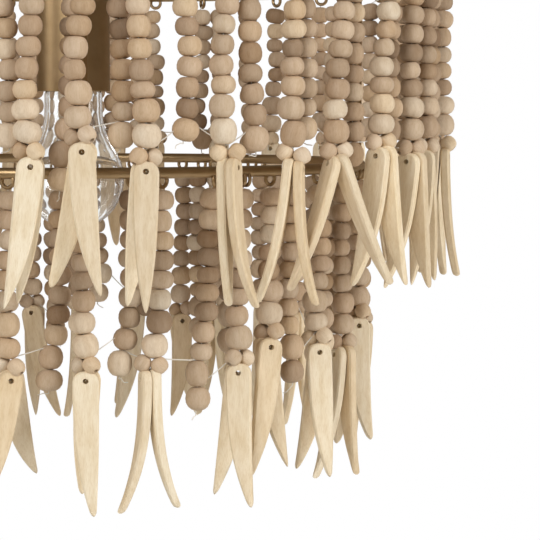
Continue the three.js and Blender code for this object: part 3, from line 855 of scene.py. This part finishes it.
def hang_tusks(strand, hung, line, tusks):
    """A pair of tusks, back to back on the loop of line under the small beads."""
    hole = strand.at(strand.depth + LOOP_DROP)
    slip = random.choice((-1, 1)) * TUSK_SLIP
    for mirror, tusk in ((1, hung.first), (-1, hung.second)):
        half_turn, shift = (0, (0, 0, 0)) if mirror == 1 else (180, (slip, 0, TUSK_SLIP * 0.6))
        mesh = tusk_mesh(
            TUSK_LENGTH * random.uniform(0.97, 1) * tusk.length_share,
            TUSK_WIDTH * random.uniform(0.95, 1.01),
            random.uniform(0.8, 3.4) * MM,
            mirror * tusk.point,
            tusk.bow * MM,
        )
        place = (
            Matrix.Translation(hole)
            @ turned(hung.turn + half_turn, "Z")
            @ Matrix.Translation(shift)
            @ turned(mirror * tusk.lean, "Y")
            @ turned(-tusk.tilt, "X")
            @ Matrix.Translation((0, -TUSK_THICKNESS * 0.55, 0))
        )
        tusks.add(mesh, place, random.uniform(0.3, 1))
    top = strand.at(strand.depth - SMALL_BEAD[1] * 0.5)
    behind = turned(hung.turn, "Z") @ Vector((0, TUSK_THICKNESS, 0))
    loop = [
        hole - behind * 0.6, hole, hole + behind * 1.12, (hole + top) / 2 + behind * 1.1,
        top + behind * 0.3,
    ]
    lay_line(line, smoothed(loop, 3))


def smoothed(path, steps):
    """More points along a smooth curve through the given ones."""
    path = [Vector(point) for point in path]
    result = []
    for index in range(len(path) - 1):
        before = path[max(index - 1, 0)]
        start, end = path[index], path[index + 1]
        after = path[min(index + 2, len(path) - 1)]
        for step in range(steps):
            t = step / steps
            result.append(
                0.5 * (2 * start + (end - before) * t
                       + (2 * before - 5 * start + 4 * end - after) * t * t
                       + (3 * start - before - 3 * end + after) * t * t * t)
            )
    return result + [path[-1]]


def lay_line(line, path):
    line.add(tube(path, LINE / 2, LINE_SIDES))


def tie(start, end, line):
    """A length of line between two neighbouring strands, with a little slack."""
    sag = (start + end) / 2 - Vector((0, 0, random.uniform(0, 1.8) * MM))
    lay_line(line, smoothed([start, sag, end], 5))


def loose_end(place, outward, sideways, line):
    """A curled end of line that sticks out of a knot."""
    path = [place]
    way = (sideways * random.uniform(-1, 1) + outward * 0.5 - Vector((0, 0, 0.5))).normalized()
    for _ in range(4):
        way = (way + Vector([random.uniform(-1, 1) for _ in range(3)]) * 0.6).normalized()
        path.append(path[-1] + way * random.uniform(1.2, 2.2) * MM)
    line.add(tube(smoothed(path, 4), LINE * 0.42, LINE_SIDES))


def hang_tusk_strand(tier, number, angle, beads, tusks, line):
    """A strand that ends in a pair of tusks. Gives the point where a tie is knotted to it."""
    hung = tusk_strand(tier, number, angle)
    strand = Strand(tier, number, angle + radians(hung.offset), 0, hung.lean * MM)
    below = SMALL_BEAD[1] * SMALL_PAIR_SHARE + LOOP_DROP
    sizes = [BEAD] * hung.beads + [LARGE_BEAD] * 2
    strand.thread_beads(beads, sizes, hung.depth * MM - below)
    knot = strand.at(strand.depth + 0.5 * MM)
    facing = 0 if number in SEEN[tier] else degrees(angle)
    hang_small_pair(strand, pair_turn(hung.turn, facing), beads)
    hang_tusks(strand, hung, line, tusks)
    lay_line(line, strand.thread)
    return knot


def hang_plain_strand(tier, number, angle, beads, line):
    """A strand that ends in larger beads. Gives the points where ties are knotted to it."""
    offset, inset, lean, count = plain_strand(tier, number)
    strand = Strand(tier, number + 0.5, angle + radians(offset), inset * MM, lean * MM)
    for _ in range(count):
        # The plain strands hang inside and behind the tusk strands, so their beads are drawn a little
        # darker in tone: painted shade
        strand.thread_bead(beads, BEAD, bead_tone(-0.07))
    knots = []
    for _ in range(END_BEADS[tier]):
        knots.append(strand.at(strand.depth))
        strand.thread_bead(beads, END_BEAD, bead_tone(0.14))
    # The beads that are seen beyond these leave the draws for all that follows as they were
    drawn_so_far = random.getstate()
    for _ in range(MORE_END_BEADS.get((tier, number), 0)):
        strand.thread_bead(beads, END_BEAD, bead_tone())
    random.setstate(drawn_so_far)
    foot = strand.at(strand.depth + 1.2 * MM)
    strand.thread.append(foot)
    lay_line(line, strand.thread)
    loose_end(foot, strand.outward, strand.sideways, line)
    return knots


def build_drop(tier, drop, body, angle):
    """The strands of one drop: three that end in tusks, and a plain one after each. Its first
    step is the last strand of the drop before, whose plain one may ride with this drop."""
    beads, tusks, line = Parts(), Parts(), Parts()
    knots = []
    for step in range(-1, STRANDS_PER_DROP):
        # Strands are numbered from the front, those to the left of it with minus numbers
        number = (int(drop) - 1) * STRANDS_PER_DROP + step
        if number >= strand_count[tier] / 2:
            number -= strand_count[tier]
        pitch = TURN / strand_count[tier]
        even_angle = angle + (step - 1) * pitch
        if step >= 0:
            knots.append(hang_tusk_strand(tier, number, even_angle, beads, tusks, line))
        rides_with_next = (tier, number) in RIDES_WITH_NEXT
        is_last = step == STRANDS_PER_DROP - 1
        if rides_with_next if step == -1 else not (rides_with_next and is_last):
            knots += hang_plain_strand(tier, number, even_angle + pitch / 2, beads, line)
    for start, end in zip(knots, knots[1:]):
        tie(start, end, line)
    node = f"{tier}_drop_{drop}"
    beads.build(f"{tier}_beads_{drop}", bead_wood, body, "bead_wood", node)
    tusks.build(f"{tier}_tusks_{drop}", tusk_wood, body, "tusk_wood", node)
    line.build(f"{tier}_line_{drop}", nylon, body, "nylon_line", node)


for tier in TIERS:
    for joint in sways[tier]:
        x, y, _ = joint["pos_m"]
        build_drop(tier, joint["name"][-2:], joint["child"], atan2(x, -y))


# Brass frame. A nipple passes its holes, and the stem enters its seats, with some clearance.
NIPPLE_HOLE_RADIUS = 5.3 * MM
WIRE_BORE_RADIUS = 3.5 * MM
STEM_BORE_RADIUS = 5 * MM
STEM_SEAT_RADIUS = 6.8 * MM
STEM_SEAT_DEPTH = 12.3 * MM
CANOPY_WALL = 1.5 * MM
CANOPY_SHOULDER = 16 * MM
CANOPY_STEPS = 12
SLEEVE_WALL = 1.2 * MM
SLEEVE_EASE = 0.3 * MM
HUB_NECK_RADIUS = 10 * MM
HUB_COLLAR_RISE = 8 * MM
HUB_EASE = 0.8 * MM
SPOKE_START = 12 * MM
STRUT_SINK = 0.3 * MM
SOCKET_BORE_RADIUS = 13.5 * MM
SOCKET_LEDGE_HEIGHT = 3 * MM
SOCKET_CAP_GAP = 1.6 * MM
EASE = 0.5 * MM
WALL_EASE_SHARE = 0.3

# Plain tubes: their name, node and body, and the radius of their bore
TUBES = (
    ("collar_ring", "canopy_collar", "ceiling_mount", NIPPLE_HOLE_RADIUS),
    ("nipple_tube", "threaded_nipple", "ceiling_mount", WIRE_BORE_RADIUS),
    ("stem_upper_tube", "upper_stem", "fixture", STEM_BORE_RADIUS),
    ("stem_lower_tube", "lower_stem", "fixture", STEM_BORE_RADIUS),
    ("stem_coupler_ring", "stem_coupler", "fixture", STEM_SEAT_RADIUS),
    ("socket_nipple_tube", "socket_nipple", "fixture", WIRE_BORE_RADIUS),
)


def crowded(angle, tier):
    """Whether the next eyelet is too near for both to stand flat along the ring."""
    apart = [abs((angle - other + TURN / 2) % TURN - TURN / 2) for other in eyelet_angles[tier]]
    return sorted(apart)[1] * ring_radius[tier] < EYELET_OUTER


def build_ring(tier):
    """The ring's rod, and an eyelet under it where each strand hangs."""
    ring = Parts()
    radius, level = ring_radius[tier], ring_level[tier]
    ring.add(tube(circle_path(radius, RING_STEPS, (0, 0, level)), ROD / 2, RING_SIDES, closed=True))
    for angle in eyelet_angles[tier]:
        outward, _ = heading(angle)
        place = Matrix.Translation(outward * radius + Vector((0, 0, level - EYELET_HANG)))
        twist = random.uniform(-EYELET_TWIST, EYELET_TWIST)
        turn = angle + radians(90 if crowded(angle, tier) else twist)
        ring.add(eyelet_mesh, place @ Matrix.Rotation(turn, 4, "Z"))
    ring.build(f"{tier}_ring_rod", brass, "fixture", "brass", f"{tier}_ring")


def one_piece(name, node, body, slot, mesh, place=Matrix.Identity(4)):
    part = Parts()
    part.add(mesh, place)
    part.build(name, FINISHES[slot], body, slot, node)


def turned_piece(name, node, body, slot, profile, sides=64):
    one_piece(name, node, body, slot, lathe(profile, sides))


def eased(profile, edge):
    """A closed profile with its corners cut by a small chamfer, so that they catch the light."""
    result = []
    for index, corner in enumerate(profile):
        here = Vector(corner)
        for other in (profile[index - 1], profile[(index + 1) % len(profile)]):
            way = Vector(other) - here
            result.append(tuple(here + way.normalized() * min(edge, way.length * EASE_MOST_SHARE)))
    return result


def build_tube(name, node, body, bore):
    low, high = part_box(node)
    outer = (high.x - low.x) / 2
    profile = [(bore, low.z), (outer, low.z), (outer, high.z), (bore, high.z)]
    edge = min(EASE, (outer - bore) * WALL_EASE_SHARE)
    turned_piece(name, node, body, "brass", eased(profile, edge))


def build_canopy():
    """A shallow cup with a rolled shoulder, open at the ceiling."""
    low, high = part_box("canopy")
    outer, inner = [(NIPPLE_HOLE_RADIUS, low.z)], []
    for step in range(CANOPY_STEPS + 1):
        angle = pi / 2 * step / CANOPY_STEPS
        rise = (1 - cos(angle)) * CANOPY_SHOULDER
        reach = high.x - CANOPY_SHOULDER + CANOPY_SHOULDER * sin(angle)
        outer.append((reach, low.z + rise))
        inner_rise = CANOPY_WALL + rise * (1 - CANOPY_WALL / CANOPY_SHOULDER)
        inner.append((reach - CANOPY_WALL * sin(angle), low.z + inner_rise))
    outer += [(high.x, high.z), (high.x - CANOPY_WALL, high.z)]
    profile = outer + inner[::-1] + [(NIPPLE_HOLE_RADIUS, low.z + CANOPY_WALL)]
    turned_piece("canopy_cup", "canopy", "ceiling_mount", "brass", profile, 96)


def build_sleeve():
    """A tube over the socket, closed at the top but for the nipple's hole."""
    low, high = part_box("socket_sleeve")
    inner, under_top = high.x - SLEEVE_WALL, high.z - SLEEVE_WALL
    profile = [
        (inner, low.z), (high.x, low.z), (high.x, high.z), (NIPPLE_HOLE_RADIUS, high.z),
        (NIPPLE_HOLE_RADIUS, under_top), (inner, under_top),
    ]
    turned_piece("sleeve_tube", "socket_sleeve", "fixture", "brass", eased(profile, SLEEVE_EASE), 96)


def build_hub():
    """A drum that takes the spokes, with a neck for the stem and a hole for the nipple."""
    low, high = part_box("hub")
    collar = ring_level["upper"] + HUB_COLLAR_RISE
    seat = high.z - STEM_SEAT_DEPTH
    profile = [
        (NIPPLE_HOLE_RADIUS, low.z), (high.x, low.z), (high.x, collar), (HUB_NECK_RADIUS, collar),
        (HUB_NECK_RADIUS, high.z), (STEM_SEAT_RADIUS, high.z), (STEM_SEAT_RADIUS, seat),
        (NIPPLE_HOLE_RADIUS, seat),
    ]
    turned_piece("hub_body", "hub", "fixture", "brass", eased(profile, HUB_EASE), 80)


def build_spoke(side, angle):
    outward, _ = heading(angle)
    start = Matrix.Translation(outward * SPOKE_START + Vector((0, 0, ring_level["upper"])))
    lying = Matrix.Rotation(angle, 4, "Z") @ Matrix.Rotation(pi / 2, 4, "X")
    bar = rod(0, ring_radius["upper"] - ROD / 2 - SPOKE_START, ROD)
    one_piece(f"spoke_{side}_rod", f"spoke_{side}", "fixture", "brass", bar, start @ lying)


def build_strut(side):
    low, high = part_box(f"strut_{side}")
    centre = (low + high) / 2
    bar = rod(low.z - STRUT_SINK, high.z + STRUT_SINK, high.x - low.x)
    place = Matrix.Translation((centre.x, centre.y, 0))
    one_piece(f"strut_{side}_rod", f"strut_{side}", "fixture", "brass", bar, place)


def build_socket():
    """A porcelain tube, open at the bottom, with a ledge that leaves room for the contact."""
    low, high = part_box("lamp_socket")
    _, cap_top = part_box("bulb_cap")
    floor = cap_top.z + SOCKET_CAP_GAP
    ledge = floor + SOCKET_LEDGE_HEIGHT
    profile = [
        (SOCKET_BORE_RADIUS, low.z), (high.x, low.z), (high.x, high.z), (NIPPLE_HOLE_RADIUS, high.z),
        (NIPPLE_HOLE_RADIUS, ledge), (WIRE_BORE_RADIUS, ledge), (WIRE_BORE_RADIUS, floor),
        (SOCKET_BORE_RADIUS, floor),
    ]
    turned_piece("socket_body", "lamp_socket", "fixture", "porcelain", eased(profile, EASE))


# Bulb: glass wall, neck, and the shoulder that goes into the cap
GLASS_WALL = 0.8 * MM
NECK_RADIUS = 17 * MM
SHOULDER_RADIUS = 13.5 * MM
SHOULDER_HEIGHT = 6 * MM
BALL_LEAVE_ANGLE = pi / 6
BALL_STEPS = 22
NECK_STEPS = 12
CAP_TIP_RADIUS = 5 * MM
CAP_TIP_HEIGHT = 1 * MM
CAP_SHOULDER_INSET = 3 * MM
CAP_SHOULDER_RISE = 1.2 * MM
CAP_CROWN_HEIGHT = 4.5 * MM
CAP_SKIRT_HEIGHT = 3 * MM
CAP_THREAD_DEPTH = 1.1 * MM
CAP_TURNS = 7
CAP_TURN_STEPS = 6
MOUNT_ROD_RADIUS = 2.4 * MM
MOUNT_ROD_START = 8 * MM
MOUNT_ROD_EASE = 0.4 * MM
MOUNT_PRESS_RADIUS = 4.4 * MM
MOUNT_PRESS_HEIGHT = 8 * MM
MOUNT_FLARE_RADIUS = 8.6 * MM
MOUNT_FLARE_HEIGHT = 14 * MM
LEAD_TOP = (2 * MM, 10 * MM)
LEAD_BEND = (3.4 * MM, 14 * MM)
HOLDER_START = 9 * MM
FILAMENT_DROP = 2 * MM
FILAMENT_HALF_SPAN = 11 * MM
FILAMENT_SAG = 6 * MM
FILAMENT_COIL_RADIUS = 0.45 * MM
FILAMENT_TURNS = 60
FILAMENT_TURN_STEPS = 8
LEAD_RADIUS = 0.28 * MM
HOLDER_RADIUS = 0.22 * MM
FILAMENT_RADIUS = 0.11 * MM
WIRE_SIDES = 6
COIL_SIDES = 5


def bulb_outline(low, high, inset):
    """A ball that runs up into the neck on one smooth curve, and then in to the cap."""
    radius = (high.x - low.x) / 2
    centre = low.z + radius
    size = radius - inset
    points = [(0, centre - size)]
    for step in range(1, BALL_STEPS):
        angle = -pi / 2 + step / BALL_STEPS * (BALL_LEAVE_ANGLE + pi / 2)
        points.append((size * cos(angle), centre + size * sin(angle)))
    leave = Vector((cos(BALL_LEAVE_ANGLE), sin(BALL_LEAVE_ANGLE)))
    start = Vector((0, centre)) + leave * size
    end = Vector((NECK_RADIUS - inset, high.z - SHOULDER_HEIGHT))
    reach = (end.y - start.y) / 2
    first = start + Vector((-leave.y, leave.x)) * reach
    second = end - Vector((0, reach))
    for step in range(NECK_STEPS + 1):
        t = step / NECK_STEPS
        point = (
            start * (1 - t) ** 3 + first * 3 * t * (1 - t) ** 2
            + second * 3 * t * t * (1 - t) + end * t ** 3
        )
        points.append(tuple(point))
    return points + [(SHOULDER_RADIUS - inset, high.z)]


def build_envelope():
    low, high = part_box("bulb_glass")
    wall = bulb_outline(low, high, 0) + bulb_outline(low, high, GLASS_WALL)[::-1]
    turned_piece("bulb_envelope", "bulb_glass", "bulb", "glass", wall)


def build_screw_cap():
    low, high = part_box("bulb_cap")
    crown = high.z - CAP_CROWN_HEIGHT
    thread_bottom = low.z + CAP_SKIRT_HEIGHT
    steps = CAP_TURNS * CAP_TURN_STEPS
    profile = [(0, low.z), (high.x, low.z)]
    for step in range(steps + 1):
        level = thread_bottom + (crown - thread_bottom) * step / steps
        groove = CAP_THREAD_DEPTH / 2 * (1 - cos(TURN * step / CAP_TURN_STEPS))
        profile.append((high.x - groove, level))
    profile.append((high.x - CAP_SHOULDER_INSET, crown + CAP_SHOULDER_RISE))
    profile += [(CAP_TIP_RADIUS, high.z - CAP_TIP_HEIGHT), (0, high.z)]
    turned_piece("bulb_screw_cap", "bulb_cap", "bulb", "cap_metal", profile)


def build_filament():
    low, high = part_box("filament_mount")
    rod_end = low.z + MOUNT_ROD_START
    profile = [
        (0, rod_end), (MOUNT_ROD_RADIUS, rod_end + MOUNT_ROD_EASE),
        (MOUNT_ROD_RADIUS, high.z - MOUNT_FLARE_HEIGHT),
        (MOUNT_PRESS_RADIUS, high.z - MOUNT_PRESS_HEIGHT), (MOUNT_FLARE_RADIUS, high.z), (0, high.z),
    ]
    turned_piece("glass_mount", "filament_mount", "bulb", "glass", profile, 32)
    wires = Parts()
    level = low.z - FILAMENT_DROP
    for side in (-1, 1):
        path = [
            (side * LEAD_TOP[0], 0, high.z - LEAD_TOP[1]),
            (side * LEAD_BEND[0], 0, low.z + LEAD_BEND[1]),
            (side * FILAMENT_HALF_SPAN, 0, level),
        ]
        wires.add(tube(smoothed(path, 5), LEAD_RADIUS, WIRE_SIDES))
    coil = []
    steps = FILAMENT_TURNS * FILAMENT_TURN_STEPS
    for step in range(steps + 1):
        share = step / steps
        swing = TURN * share * FILAMENT_TURNS
        sag = FILAMENT_SAG * sin(pi * share)
        coil.append((
            FILAMENT_HALF_SPAN * (2 * share - 1),
            FILAMENT_COIL_RADIUS * cos(swing),
            level - sag + FILAMENT_COIL_RADIUS * sin(swing),
        ))
    wires.add(tube(coil, FILAMENT_RADIUS, COIL_SIDES))
    holder = [(0, 0, low.z + HOLDER_START), (0, 0, level - FILAMENT_SAG)]
    wires.add(tube(holder, HOLDER_RADIUS, WIRE_SIDES))
    wires.build("filament_wires", tungsten, "bulb", "cap_metal")


for tier in TIERS:
    build_ring(tier)
build_canopy()
build_sleeve()
build_hub()
first_drop = sways["upper"][0]["pos_m"]
first_spoke = atan2(first_drop[0], -first_drop[1]) - TURN / strand_count["upper"]
for index, side in enumerate(("front", "right", "back", "left")):
    build_spoke(side, first_spoke + index * TURN / 4)
    build_strut(side)
build_socket()
build_envelope()
build_screw_cap()
build_filament()
for piece in TUBES:
    build_tube(*piece)

# CAD nodes that are shown as they are
NODE_FINISHES = {
    "mounting_strap": steel, "strap_nut": steel, "swivel_nut": brass, "swivel_fork": brass,
    "swivel_pin": brass, "stem_knuckle": brass, "socket_contact": contact_brass,
}
for node, finish in NODE_FINISHES.items():
    materials = frame["nodes"][node].data.materials
    materials.clear()
    materials.append(finish)
